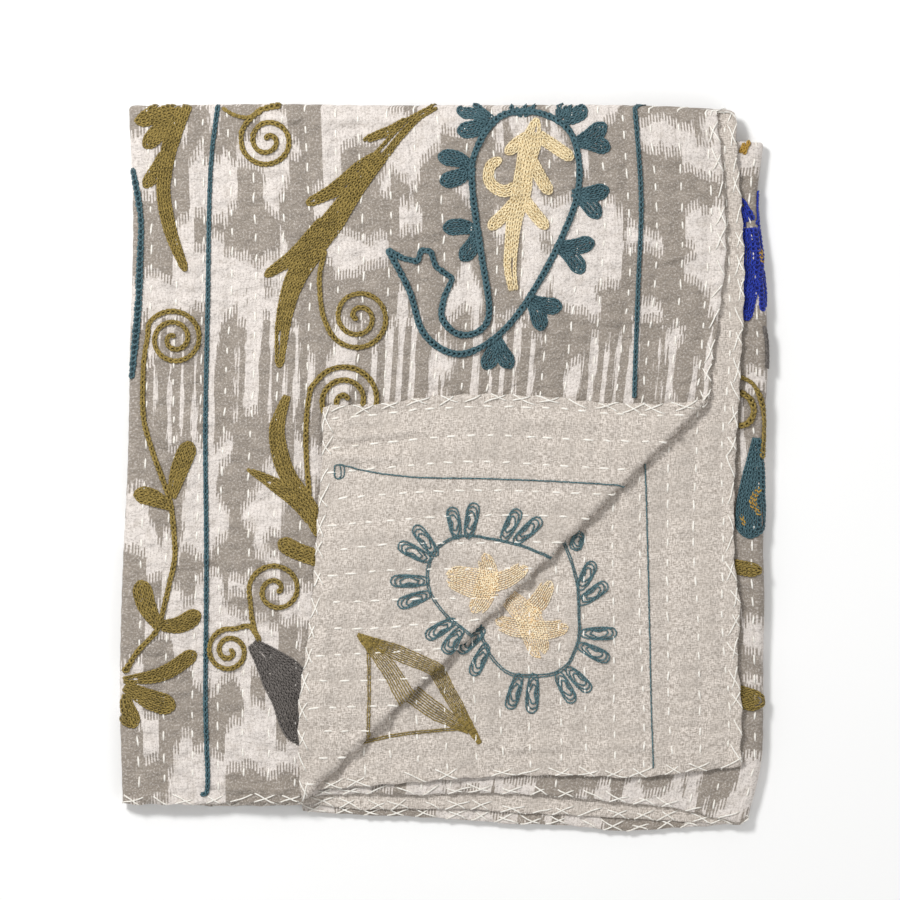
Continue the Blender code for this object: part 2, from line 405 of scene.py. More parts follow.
def cloth_side(name, side, a_stations, b_stations, material):
    """One fabric of the quilt as a thin sheet that closes round the hem to the other one."""
    edge = 0.9 * MM
    a_all = np.unique(np.concatenate([[0.0], np.clip(a_stations, edge, WIDTH - edge), [WIDTH]]))
    inner = np.clip(b_stations, edge - HALF_LENGTH, HALF_LENGTH - edge)
    b_all = np.unique(np.concatenate([[-HALF_LENGTH], inner, [HALF_LENGTH]]))
    a, b = np.meshgrid(a_all, b_all, indexing="ij")
    points, _ = surface(a, b, side)
    rim = np.zeros(a.shape, bool)
    rim[0], rim[-1], rim[:, 0], rim[:, -1] = True, True, True, True
    other, _ = surface(a[rim], b[rim], -side)
    points[rim] = (points[rim] + other) / 2
    faces = grid_faces(*a.shape)
    if side < 0:
        faces = faces[:, ::-1]
    piece = quad_piece(name, points, faces, material)
    layer = piece.data.uv_layers.new(name="OFBake")
    flat = np.stack([a.ravel() / WIDTH, (b.ravel() + HALF_LENGTH) / (2 * HALF_LENGTH)], -1)
    loops = np.zeros(len(piece.data.loops), np.int32)
    piece.data.loops.foreach_get("vertex_index", loops)
    layer.uv.foreach_set("vector", flat[loops].astype(np.float32).ravel())
    return piece


def tubes(paths, normals, radius, sides, flatness):
    """Points and faces of many tubes; paths and normals are arrays of (tube, point, 3)."""
    tangent = unit(np.gradient(paths, axis=1))
    beside = unit(np.cross(tangent, normals))
    above = np.cross(beside, tangent) * flatness
    radius = np.broadcast_to(np.asarray(radius, float), paths.shape[:2])[..., None]
    angles = 2 * math.pi * (np.arange(sides) + 0.5) / sides
    verts = np.stack([paths + radius * (math.cos(t) * beside + math.sin(t) * above) for t in angles], 2)
    count, points = paths.shape[:2]
    ring = np.arange(sides)
    following = (ring + 1) % sides
    tube = np.arange(count)[:, None, None] * points * sides
    start = tube + np.arange(points - 1)[None, :, None] * sides
    walls = np.stack([start + ring, start + sides + ring, start + sides + following, start + following], -1)
    caps = np.array([(0, 1, 2, 3)] if sides == 4 else [(0, 1, 2, 3), (0, 3, 4, 5)])
    first = tube + caps[None]
    last = tube + (points - 1) * sides + caps[None, :, ::-1]
    return verts.reshape(-1, 3), np.concatenate([f.reshape(-1, 4) for f in (walls, first, last)])


class Thread:
    """Collects tubes of one thread, to be joined in one piece."""

    def __init__(self, name, material):
        self.name, self.material, self.verts, self.faces, self.count = name, material, [], [], 0

    def add(self, paths, normals, radius, sides=4, flatness=1.0):
        verts, faces = tubes(paths, normals, radius, sides, flatness)
        self.faces.append(faces + self.count)
        self.verts.append(verts)
        self.count += len(verts)

    def make(self):
        return quad_piece(self.name, np.concatenate(self.verts), np.concatenate(self.faces), self.material)


# Materials.
class Nodes:
    """Short names for the nodes of one material."""

    def __init__(self, name):
        self.material = bpy.data.materials.new(name)
        self.material.use_nodes = True
        self.tree = self.material.node_tree
        self.shader = self.tree.nodes["Principled BSDF"]

    def node(self, kind, **values):
        made = self.tree.nodes.new(kind)
        for key, value in values.items():
            setattr(made, key, value)
        return made

    def wire(self, source, socket):
        if isinstance(source, (int, float)):
            socket.default_value = source
        elif isinstance(source, tuple):
            socket.default_value = source + (1.0,)
        else:
            self.tree.links.new(source, socket)

    def math(self, operation, *sources):
        made = self.node("ShaderNodeMath", operation=operation)
        for source, socket in zip(sources, made.inputs):
            self.wire(source, socket)
        return made.outputs[0]

    def mix(self, factor, a, b):
        made = self.node("ShaderNodeMix", data_type="RGBA")
        self.wire(factor, made.inputs[0])
        self.wire(a, made.inputs[6])
        self.wire(b, made.inputs[7])
        return made.outputs[2]

    def flat(self):
        """Flat coordinates of the cloth in metres, as (a, b)."""
        uv = self.node("ShaderNodeUVMap", uv_map="OFBake")
        split = self.node("ShaderNodeSeparateXYZ")
        self.wire(uv.outputs[0], split.inputs[0])
        a = self.math("MULTIPLY", split.outputs[0], WIDTH)
        return a, self.math("MULTIPLY", split.outputs[1], 2 * HALF_LENGTH)

    def join(self, x, y, z=0.0):
        made = self.node("ShaderNodeCombineXYZ")
        for source, socket in zip((x, y, z), made.inputs):
            self.wire(source, socket)
        return made.outputs[0]

    def scaled(self, a, by_a, b, by_b, z=0.0):
        """A place whose coordinates are a and b, each multiplied by a number."""
        return self.join(self.math("MULTIPLY", a, by_a), self.math("MULTIPLY", b, by_b), z)

    def noise(self, vector, scale, detail, rough=0.5):
        made = self.node("ShaderNodeTexNoise", noise_dimensions="3D")
        self.wire(vector, made.inputs["Vector"])
        made.inputs["Scale"].default_value = scale
        made.inputs["Detail"].default_value = detail
        made.inputs["Roughness"].default_value = rough
        return made.outputs[0]

    def random(self, value):
        made = self.node("ShaderNodeTexWhiteNoise", noise_dimensions="1D")
        self.wire(value, made.inputs["W"])
        return made.outputs[0]

    def step(self, value, low, high, to_low=0.0, to_high=1.0):
        made = self.node("ShaderNodeMapRange", interpolation_type="SMOOTHSTEP")
        self.wire(value, made.inputs[0])
        for socket, number in zip(list(made.inputs)[1:5], (low, high, to_low, to_high)):
            socket.default_value = number
        return made.outputs[0]

    def bump(self, heights, strength, distance, after=None):
        made = self.node("ShaderNodeBump")
        made.inputs["Strength"].default_value = strength
        made.inputs["Distance"].default_value = distance
        self.wire(heights, made.inputs["Height"])
        if after is not None:
            self.wire(after, made.inputs["Normal"])
        return made.outputs[0]

    def position(self):
        return self.node("ShaderNodeTexCoord").outputs["Object"]

    def weave(self, a, b, thread):
        """Height of a plain weave whose threads are as wide as given."""
        across = self.math("SINE", self.math("MULTIPLY", a, math.pi / thread))
        down = self.math("SINE", self.math("MULTIPLY", b, math.pi / thread))
        return self.math("ABSOLUTE", self.math("MULTIPLY", across, down))

    def cloth_finish(self, roughness, sheen):
        self.wire(roughness, self.shader.inputs["Roughness"])
        self.shader.inputs["Sheen Weight"].default_value = sheen
        self.shader.inputs["Specular IOR Level"].default_value = 0.25


# Warp-dyed print: a comb is a pair of warp columns, one of them shifted along the cloth.
WARP = 1.45 * MM
COMB = 9.0 * MM
SPINDLE_A = 0.122
SPINDLE_B = 0.176
BLOCKS = ((32 * WARP, 19.0, 3.8), (12 * WARP, 28.0, 2.8))
BARS_B = 0.56
TAUPE = (0.300, 0.258, 0.215)
GROUND = (0.795, 0.730, 0.680)


def ikat(n, a, b):
    """1 on the undyed ground of the print and 0 on its taupe."""
    pair = n.math("FLOOR", n.math("DIVIDE", a, 2 * WARP))
    odd = n.math("SUBTRACT", n.math("FLOOR", n.math("DIVIDE", a, WARP)), n.math("MULTIPLY", pair, 2.0))
    of_pair = n.random(pair)
    reach = n.math("MULTIPLY", odd, n.math("MULTIPLY_ADD", of_pair, 0.3 * COMB, 0.85 * COMB))
    b_warp = n.math("ADD", n.math("ADD", b, reach), n.math("MULTIPLY", of_pair, 0.2 * COMB))
    a_warp = n.math("MULTIPLY", pair, 2 * WARP)
    # Spindles in columns, a smaller family between them.
    off = n.math("PINGPONG", a_warp, SPINDLE_A / 2)
    swell = n.math("DIVIDE", n.math("PINGPONG", b_warp, SPINDLE_B / 2), SPINDLE_B / 2)
    spindle = n.math("SUBTRACT", n.math("MULTIPLY_ADD", swell, 0.030, 0.004), off)
    small = n.math("SUBTRACT", n.math("MULTIPLY_ADD", swell, -0.034, 0.026),
                   n.math("SUBTRACT", SPINDLE_A / 2, off))
    form = n.math("MULTIPLY", n.math("MAXIMUM", spindle, small), 25.0)
    # Uneven blotches, and blocks of two widths with straight sides and combed ends.
    blotch = n.math("SUBTRACT", n.noise(n.scaled(a_warp, 30.0, b_warp, 19.0), 1.0, 1.5), 0.5)
    form = n.math("MULTIPLY_ADD", blotch, 1.9, form)
    uneven = n.math("MULTIPLY_ADD", n.math("SINE", n.math("MULTIPLY", a, 61.0)), 0.012, a)
    for width, rate, weight in BLOCKS:
        number = n.math("FLOOR", n.math("DIVIDE", uneven, width))
        block = n.noise(n.scaled(number, 7.31, b_warp, rate, 1000.0 * width), 1.0, 0.5)
        form = n.math("MULTIPLY_ADD", n.math("SUBTRACT", block, 0.5), weight, form)
    # Bands of upright bars.
    bar_at = n.math("MULTIPLY_ADD", of_pair, 0.003, uneven)
    bar = n.math("SUBTRACT", n.math("PINGPONG", bar_at, 0.0098), 0.0052)
    bar = n.math("MULTIPLY", n.math("ADD", bar, n.math("MULTIPLY", blotch, 0.016)), 160.0)
    band = n.math("SINE", n.math("MULTIPLY_ADD", b_warp, 2 * math.pi / BARS_B, 3.757))
    band = n.step(n.math("MULTIPLY_ADD", form, 0.12, band), 0.86, 0.88)
    off_band = n.math("MULTIPLY", form, n.math("SUBTRACT", 1.0, band))
    form = n.math("ADD", off_band, n.math("MULTIPLY", bar, band))
    return n.step(form, 0.06, 0.16)


def printed_cotton():
    n = Nodes("printed_cotton")
    a, b = n.flat()
    ground = ikat(n, a, b)
    flat = n.join(a, b)
    mottle = n.noise(flat, 85.0, 4.0, 0.66)
    speck = n.noise(flat, 520.0, 2.0, 0.75)
    streak = n.noise(n.scaled(a, 560.0, b, 90.0), 1.0, 1.0)
    print_and_painted_shade = n.mix(ground, TAUPE, GROUND)
    # The grey mottle is painted shade of the cloth's crinkles; the light and dark specks and the streaks
    # along the warp are the cloth's own.
    print_and_painted_shade = n.mix(n.step(mottle, 0.46, 0.72, 0.0, 0.52), print_and_painted_shade, (0.47, 0.41, 0.35))
    print_and_painted_shade = n.mix(n.step(speck, 0.50, 0.66, 0.0, 0.40), print_and_painted_shade, (0.86, 0.81, 0.77))
    print_and_painted_shade = n.mix(n.step(speck, 0.50, 0.34, 0.0, 0.42), print_and_painted_shade, (0.20, 0.17, 0.15))
    print_and_painted_shade = n.mix(n.step(streak, 0.42, 0.68, 0.0, 0.22), print_and_painted_shade, (0.30, 0.26, 0.23))
    n.wire(print_and_painted_shade, n.shader.inputs["Base Color"])
    n.cloth_finish(n.math("MULTIPLY_ADD", speck, 0.15, 0.82), 0.12)
    creases = n.noise(n.join(n.math("MULTIPLY", a, 0.7), b), 130.0, 3.0, 0.6)
    wide = n.noise(n.join(n.math("MULTIPLY", a, 0.6), b, 2.0), 60.0, 2.0)
    folds = n.math("ABSOLUTE", n.math("SUBTRACT", wide, 0.5))
    soft = n.bump(n.math("MULTIPLY_ADD", folds, 1.2, creases), 0.9, 3.8 * MM)
    n.wire(n.bump(n.weave(a, b, 0.42 * MM), 0.35, 0.25 * MM, soft), n.shader.inputs["Normal"])
    return n.material


def plain_linen():
    n = Nodes("plain_linen")
    a, b = n.flat()
    flat = n.join(a, b)
    slub_a = n.noise(n.scaled(a, 230.0, b, 860.0), 1.0, 2.0, 0.65)
    slub_b = n.noise(n.scaled(a, 860.0, b, 230.0, 3.0), 1.0, 2.0, 0.65)
    slub = n.math("MULTIPLY_ADD", slub_a, 0.5, n.math("MULTIPLY", slub_b, 0.5))
    mottle = n.noise(n.scaled(a, 46.0, b, 17.0), 1.0, 4.0, 0.62)
    speck = n.noise(flat, 620.0, 2.0, 0.8)
    tone = n.mix(n.step(slub, 0.38, 0.62), (0.360, 0.310, 0.264), (0.870, 0.790, 0.715))
    # The darker mottle, stretched along the sheet, is partly uneven warp and partly painted shade of soft
    # creases.
    tone = n.mix(n.step(mottle, 0.38, 0.66, 0.0, 0.50), tone, (0.500, 0.445, 0.390))
    tone = n.mix(n.step(speck, 0.50, 0.34, 0.0, 0.30), tone, (0.300, 0.258, 0.220))
    tone = n.mix(n.step(speck, 0.50, 0.66, 0.0, 0.28), tone, (0.900, 0.845, 0.785))
    n.wire(tone, n.shader.inputs["Base Color"])
    n.cloth_finish(n.math("MULTIPLY_ADD", speck, 0.16, 0.80), 0.12)
    creases = n.noise(n.join(a, n.math("MULTIPLY", b, 0.7)), 95.0, 3.0, 0.6)
    folds = n.math("ABSOLUTE", n.math("SUBTRACT", n.noise(n.join(a, b, 2.0), 42.0, 2.0), 0.5))
    soft = n.bump(n.math("MULTIPLY_ADD", folds, 1.2, creases), 0.7, 2.4 * MM)
    n.wire(n.bump(n.weave(a, b, 0.55 * MM), 0.45, 0.3 * MM, soft), n.shader.inputs["Normal"])
    return n.material


def yarn(name, dark, light, roughness=0.75):
    """Twisted thread: its colour and plies change over about a millimetre, and its dark specks are painted
    shade between the plies.
    """
    n = Nodes(name)
    where = n.position()
    shade = n.noise(where, 650.0, 2.0, 0.6)
    drift = n.noise(where, 40.0, 2.0, 0.5)
    # Dark specks where the fine noise is low: painted shade between the plies.
    tone = n.mix(n.step(shade, 0.36, 0.60), dark, light)
    tone = n.mix(n.step(drift, 0.35, 0.7, 0.0, 0.3), tone, light)
    n.wire(tone, n.shader.inputs["Base Color"])
    n.wire(n.math("MULTIPLY_ADD", shade, 0.12, roughness - 0.05), n.shader.inputs["Roughness"])
    n.shader.inputs["Sheen Weight"].default_value = 0.2
    n.shader.inputs["Specular IOR Level"].default_value = 0.3
    n.wire(n.bump(n.noise(where, 1500.0, 2.0, 0.6), 0.4, 0.25 * MM), n.shader.inputs["Normal"])
    return n.material


YARN_TONES = {
    "white": ((0.76, 0.71, 0.63), (0.95, 0.92, 0.86)),
    "olive": ((0.110, 0.078, 0.015), (0.335, 0.240, 0.062)),
    "teal": ((0.018, 0.052, 0.066), (0.078, 0.155, 0.180)),
    "cream": ((0.58, 0.43, 0.22), (0.92, 0.78, 0.50)),
    "straw": ((0.74, 0.48, 0.22), (0.98, 0.86, 0.62)),
    "pale_teal": ((0.028, 0.072, 0.086), (0.110, 0.200, 0.220)),
    "grey": ((0.060, 0.052, 0.047), (0.165, 0.147, 0.135)),
    "blue": ((0.005, 0.012, 0.160), (0.017, 0.045, 0.420)),
    "ochre": ((0.30, 0.16, 0.020), (0.50, 0.31, 0.060)),
}
YARNS = {tone: yarn(tone + "_thread", dark, light) for tone, (dark, light) in YARN_TONES.items()}


def shaded(tone):
    """A darker copy of a thread's material: painted shade, seen between the threads of a stitch."""
    dark, _ = YARN_TONES[tone]
    return yarn(tone + "_painted_shade", tuple(0.5 * c for c in dark), tuple(0.95 * c for c in dark), 0.9)


# Cloth.
def make_cloth():
    fine, fold_step = 2.92 * MM, 1.6 * MM
    fold0, part1, fold1, part2 = STARTS[1:5]
    near_fold, near_hem = fold1 - 0.04, 0.02 - HALF_LENGTH
    a_printed = stations(
        (0, fold0, fine), (fold0, part1, fold_step), (part1, near_fold, 11 * MM),
        (near_fold, fold1, 3 * MM), (fold1, part2, fold_step), (part2, WIDTH, 14 * MM),
    )
    b_printed = stations(
        (-HALF_LENGTH, near_hem, 4 * MM), (near_hem, -HALF_FOLD, 9 * MM),
        (-HALF_FOLD, HALF_FOLD, 1.1 * MM), (HALF_FOLD, HALF_LENGTH, fine),
    )
    plain = 3.6 * MM
    a_plain = stations(
        (0, fold0, plain), (fold0, part1, 2.2 * MM), (part1, fold1, 14 * MM), (fold1, part2, 2.2 * MM),
        (part2, WIDTH, 16 * MM),
    )
    b_plain = stations((-HALF_LENGTH, -HALF_FOLD, plain), (-HALF_FOLD, HALF_FOLD, 1.3 * MM),
                       (HALF_FOLD, HALF_LENGTH, plain))
    printed = cloth_side("printed_face", 1, a_printed, b_printed, printed_cotton())
    back = cloth_side("plain_back", -1, a_plain, b_plain, plain_linen())
    return printed, back


PRINTED, BACK = make_cloth()
for cloth in (PRINTED, BACK):
    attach(cloth, "root")
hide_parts(NODE)


# Quilting stitches.
def shown(a, b, side):
    """Whether a stitch at flat coordinates can be seen on that side of the sheet."""
    points = place(a, b)
    _, _, normal = slopes(a, b)
    part_0 = a < STARTS[1]
    if side > 0:
        under = (flap_cover(points) > 0.5) & part_0 & (b > 0)
        rolled_in = part_0 & (b > 0) & (normal[..., 2] < -0.2)
        front = (b > -HALF_FOLD) & (a < STARTS[2] + 0.17) & ~under & ~rolled_in
        right = (a > STARTS[3] - 0.045) & (a < STARTS[4] + 0.004)
        lowest = (b <= 0) & (a > STARTS[4])
        near_hem = (b < 0.03 - HALF_LENGTH) & (a > STARTS[2])
        return front | right & (b <= 0) | lowest | near_hem
    flap = part_0 & (b > 0) & (normal[..., 2] < -0.3)
    second = part_0 & (b < 0) & (past_roll(points) > -0.012)
    return flap | second | (b < 0) & (a < 0.03)


def make_quilting():
    rng = np.random.default_rng(21)
    thread = Thread("quilting_stitches", YARNS["white"])
    rows = int(WIDTH / ROW_PITCH)
    per_row = int(2 * HALF_LENGTH / STITCH_PITCH)
    row, number = np.meshgrid(np.arange(rows), np.arange(per_row), indexing="ij")
    shift = rng.random(rows)[:, None]
    for side in (1, -1):
        half_on = 0.5 if side < 0 else 0.0
        at = (number + shift + half_on + rng.uniform(-0.09, 0.09, row.shape)) * STITCH_PITCH
        b = at - HALF_LENGTH
        length = STITCH_LENGTH * rng.uniform(0.66, 1.15, row.shape) * 1.2
        lean = rng.normal(0, 0.07, row.shape)
        a = (row + 0.5) * ROW_PITCH + row_wander(row, b)
        keep = shown(a, b, side) & (np.abs(b) < HALF_LENGTH - 0.008)
        a, b, length, lean = a[keep], b[keep], length[keep], lean[keep]
        t = np.linspace(-0.5, 0.5, 5)
        along_b = b[:, None] + t * length[:, None]
        across_a = a[:, None] + t * (length * lean)[:, None]
        arch = np.array([-0.5, 0.34, 0.52, 0.34, -0.5]) * MM
        points, normal = surface(across_a, along_b, side, arch[None, :])
        radius = np.array([0.38, 0.84, 0.92, 0.84, 0.38]) * MM * (1.15 if side > 0 else 1.25)
        thread.add(points, normal, radius[None, :], 6, 0.85)
    return thread.make()


# Hem stitches.
def hem_lines():
    """Each hem as a function from a place along it and an inset to flat coordinates, with its length."""
    side = lambda s, inset: (inset, s - HALF_LENGTH)
    end = lambda s, inset: (WIDTH - inset, s - HALF_LENGTH)
    front = lambda s, inset: (s, HALF_LENGTH - inset)
    back = lambda s, inset: (s, inset - HALF_LENGTH)
    return ((side, 2 * HALF_LENGTH), (end, 2 * HALF_LENGTH), (front, WIDTH), (back, WIDTH))


def make_hem():
    rng = np.random.default_rng(31)
    thread = Thread("hem_stitches", YARNS["white"])
    for at, length in hem_lines():
        count = int(length / HEM_PITCH)
        centre = (np.arange(count) + 0.5) * length / count + rng.normal(0, 2.2 * MM, count)
        t = np.linspace(-1, 1, 6)
        for side in (1, -1):
            for direction in (1, -1):
                arm = HEM_ARM * rng.uniform(0.65, 1.25, count)
                depth = HEM_DEPTH * rng.uniform(0.6, 1.2, count)
                middle = centre + rng.normal(0, 1.4 * MM, count)
                s = middle[:, None] + direction * t * arm[:, None]
                inset = 0.2 * MM + depth[:, None] * (0.5 + 0.5 * t) ** rng.uniform(0.85, 1.25, (count, 1))
                s = np.clip(s, 0.5 * MM, length - 0.5 * MM)
                a, b = at(s, inset)
                arch = np.array([-0.2, 0.45, 0.65, 0.65, 0.45, -0.5]) * MM + 0.15 * MM * direction
                points, normal = surface(a, b, side, arch[None, :])
                sewn = rng.random(count) < 0.86
                thread.add(points[sewn], normal[sewn], 0.9 * MM)
    return thread.make()


# Embroidery: places are in mm on the part of the throw that shows, as seen from above.
def flat_at(points_mm, where):
    """Flat coordinates of places seen from above, on the cloth that where names."""
    target = np.asarray(points_mm, float) * MM
    x, y = target[:, 0], target[:, 1]
    ply = -1.0 if where in ("second", "right_strip") else 1.0
    spread = place
    if where == "flap":
        target = target - ROLL_OUTWARD * (2 * past_roll(target) - ROUND_ROLL)[:, None]
        x, y = target[:, 0], target[:, 1]
        spread = lambda a, b: column("front", a, np.clip((b - HALF_FOLD) / PART_LENGTH, 0, 1))
    # A first guess that takes the part as flat, then steps of Newton's method.
    if where == "right_strip":
        a = STARTS[2] + (x + 0.292) * PART_WIDTHS[1] / 0.588
    elif ply > 0:
        a = (0.262 - x) * PART_WIDTHS[0] / 0.553
    else:
        a = (0.281 - x) * PART_WIDTHS[0] / 0.572
    b = ply * (HALF_FOLD + (0.342 - y) * PART_LENGTH / 0.655)
    fold_start = {"top": STARTS[1], "right_strip": STARTS[3]}.get(where, WIDTH)
    a = np.minimum(a, fold_start + 0.2 * SIDE_FOLD)
    last_a = min(WIDTH, fold_start + 0.46 * SIDE_FOLD)
    step = 0.5 * MM
    for _ in range(7):
        here = spread(a, b)[..., :2]
        by_a = (spread(a + step, b)[..., :2] - here) / step
        by_b = (spread(a, b + step * ply)[..., :2] - here) / step
        miss = target - here
        det = by_a[:, 0] * by_b[:, 1] - by_a[:, 1] * by_b[:, 0]
        det = np.where(np.abs(det) < 0.2, np.sign(det + 1e-9) * 0.2, det)
        da = (miss[:, 0] * by_b[:, 1] - miss[:, 1] * by_b[:, 0]) / det
        db = (by_a[:, 0] * miss[:, 1] - by_a[:, 1] * miss[:, 0]) / det
        a = np.clip(a + np.clip(da, -0.02, 0.02), 0, last_a)
        b = np.clip(b + ply * np.clip(db, -0.02, 0.02), -HALF_LENGTH, HALF_LENGTH)
    return np.stack([a, b], -1)


def smooth_line(points, step=1.0):
    """A smooth curve through points, with a point about every step (mm)."""
    p = np.asarray(points, float)
    padded = np.concatenate([[2 * p[0] - p[1]], p, [2 * p[-1] - p[-2]]])
    out = []
    for i in range(len(p) - 1):
        before, a, b, after = padded[i:i + 4]
        t = np.linspace(0, 1, max(2, int(np.linalg.norm(b - a) / step)), endpoint=False)[:, None]
        sa, sb = (b - before) / 2, (after - a) / 2
        out.append((2 * a - 2 * b + sa + sb) * t**3 + (3 * b - 3 * a - 2 * sa - sb) * t**2 + sa * t + a)
    return np.concatenate(out + [p[-1:]])


def run_of(points):
    """Distance along a line at each of its points."""
    return np.concatenate([[0], np.cumsum(np.linalg.norm(np.diff(points, axis=0), axis=1))])


def evenly(points, pitch_mm):
    """Points at an even distance along a dense line."""
    run = run_of(points)
    at = np.linspace(0, run[-1], max(1, int(round(run[-1] / pitch_mm))) + 1)
    return np.stack([np.interp(at, run, points[:, k]) for k in (0, 1)], -1)


def leaf_rows(spine, widths, spacing):
    """Lines nested in a leaf that has these widths along its spine, and its line and half widths."""
    line = smooth_line(spine)
    run = run_of(line)
    half = np.interp(run / run[-1], np.linspace(0, 1, len(widths)), widths) / 2
    to_tip = np.clip((run[-1] - run) / (0.5 * max(widths[-1], 4)), 0.0, 1)
    half = half * np.sqrt(np.clip(1 - (1 - to_tip) ** 2, 0.01, 1))
    tangent = unit(np.gradient(line, axis=0))
    beside = np.stack([-tangent[:, 1], tangent[:, 0]], -1)
    reach = np.maximum(half - spacing / 2, 0)[:, None]
    count = max(1, int(math.ceil(2 * half.max() / spacing)))
    shares = np.linspace(-1, 1, count) if count > 1 else np.zeros(1)
    rows = [line + beside * reach * share for share in sorted(shares, key=abs, reverse=True)]
    return rows, (line, half)


# In mm: the top layer's upper edge and its length, and a filled leaf's rows and links.
TOP_Y, TOP_LENGTH = 345, 665
FILL_ROW = 4.2
FILL_LINK = 4.4
# A link of the chain and the dark patch of painted shade under it, along and across it and in height.
SHADE_PATCH_ALONG = np.array([-0.1, 0.5, 1.1])
LOOP_ALONG = np.array([-0.15, 0.28, 0.75, 1.12, 0.75, 0.28, -0.15])
LOOP_ACROSS = np.array([0.25, 0.95, 1.0, 0.0, -1.0, -0.95, -0.25])
LOOP_HEIGHT = np.array([0.15, 0.75, 0.95, 1.35, 0.95, 0.75, 0.15])


class Embroidery:
    """Chain stitch of one colour on the printed face."""

    def __init__(self, colour, name):
        self.colour, self.name, self.rows, self.leaves = colour, name, {}, []

    def row(self, spots, where, width, strand, keep=None):
        """Links from each spot to the next, or only those that keep marks."""
        if len(spots) < 2:
            return
        centre = (spots[1:] + spots[:-1]) / 2
        inside = np.ones(len(centre), bool) if keep is None else keep
        if where == "top":
            edge = along(LEFT_FOLD_X, (TOP_Y - centre[:, 1]) / TOP_LENGTH) / MM
            inside = inside & (centre[:, 0] > edge + 2.5) & (centre[:, 1] < TOP_Y - 1.5)
        size = np.full(inside.sum(), width), np.full(inside.sum(), strand)
        self.rows.setdefault(where, []).append((spots[:-1][inside], spots[1:][inside], *size))

    def line(self, points, where="top", width=6.0, link=4.9, strand=1.5):
        self.row(evenly(smooth_line(points), link), where, width, strand)

    def curl(self, stem, *shape, **stitch):
        """A line that ends in a spiral of this shape."""
        self.line(np.concatenate([stem, spiral(*shape)]), **stitch)

    def leaf(self, spine, widths, where="top"):
        """Nested rows of links, left out where a leaf that was made before lies."""
        rows, shape = leaf_rows(spine, widths, FILL_ROW)
        taken = np.zeros((0, 2))
        for row in rows:
            if len(row) < 3:
                continue
            spots = evenly(row, FILL_LINK)
            centre = (spots[1:] + spots[:-1]) / 2
            keep = np.ones(len(centre), bool)
            for line, half in self.leaves:
                distance = np.linalg.norm(centre[:, None] - line[None], axis=-1)
                keep &= ~(distance < half[None] - 0.9).any(1)
            if len(taken):
                keep &= np.linalg.norm(centre[:, None] - taken[None], axis=-1).min(1) > 0.5 * FILL_ROW
            taken = np.concatenate([taken, centre[keep]])
            self.row(spots, where, 1.08 * FILL_ROW, 1.06, keep)
        self.leaves.append(shape)

    def make(self):
        """Two pieces: the loops of the links and a dark patch of painted shade under them."""
        thread = Thread(self.name, YARNS[self.colour])
        shade_patch = Thread(self.name + "_painted_shade", shaded(self.colour))
        rng = np.random.default_rng(len(self.name) * 7 + 5)
        for where, rows in self.rows.items():
            start, end, width, strand = (np.concatenate(part) for part in zip(*rows))
            flat = flat_at(np.concatenate([start, end]), where)
            start, end = flat[:len(start)], flat[len(start):]
            centre = (start + end) / 2
            points = place(centre[:, 0], centre[:, 1])
            _, _, normal = slopes(centre[:, 0], centre[:, 1])
            on_front = (centre[:, 1] > 0) & (centre[:, 0] < STARTS[1])
            hidden = on_front & ((flap_cover(points) > 0.6) | (normal[:, 2] < -0.5))
            hidden |= np.linalg.norm(end - start, axis=1) > 9 * MM
            start, end, width, strand = (part[~hidden] for part in (start, end, width * MM, strand * MM))
            step = end - start
            side = np.stack([-step[:, 1], step[:, 0]], -1)
            side = side / np.maximum(np.linalg.norm(side, axis=1, keepdims=True), 1e-9)
            wobble = rng.uniform(0.85, 1.12, (len(start), 1))
            spread = LOOP_ACROSS[None, :] * (width / 2 - strand)[:, None] * wobble
            spots = start[:, None, :] + LOOP_ALONG[None, :, None] * step[:, None, :]
            spots = spots + spread[..., None] * side[:, None, :]
            lift = LOOP_HEIGHT[None, :] * strand[:, None]
            on_cloth, normals = surface(spots[..., 0], spots[..., 1], 1, lift)
            thread.add(on_cloth, normals, strand[:, None], 4, 0.8)
            # Under each link a flat dark tube of painted shade, which shows between its threads.
            under = start[:, None] + SHADE_PATCH_ALONG[None, :, None] * step[:, None]
            on_cloth, normals = surface(under[..., 0], under[..., 1], 1, 0.2 * MM)
            shade_patch.add(on_cloth, normals, 0.52 * width[:, None], 4, 0.3)
        return [thread.make(), shade_patch.make()]


def spiral(centre, radius, turns, start, clockwise, inner=2.5):
    """Points of a spiral that winds in, from a start angle in degrees."""
    t = np.linspace(0, 1, int(turns * 16) + 2)
    angle = math.radians(start) + (-1 if clockwise else 1) * 2 * math.pi * turns * t
    reach = inner + (radius - inner) * (1 - t) ** 0.85
    return np.stack([centre[0] + reach * np.cos(angle), centre[1] + reach * np.sin(angle)], -1)


def club(base, tip, width, bend=0.0):
    """A leaf that is narrow at its base and round at its tip: its spine and widths."""
    base, tip = np.array(base, float), np.array(tip, float)
    run = tip - base
    middle = (base + tip) / 2 + bend * np.array((-run[1], run[0]))
    return [base, middle, tip], (0.5 * width, 0.8 * width, width, 1.05 * width, width)


def frond(thread, body, widths, lobes):
    """A long leaf with lobes that leave it at a slant and taper to their tips."""
    thread.leaf(body, widths)
    for spine, lobe_widths in lobes:
        thread.leaf(spine, lobe_widths)


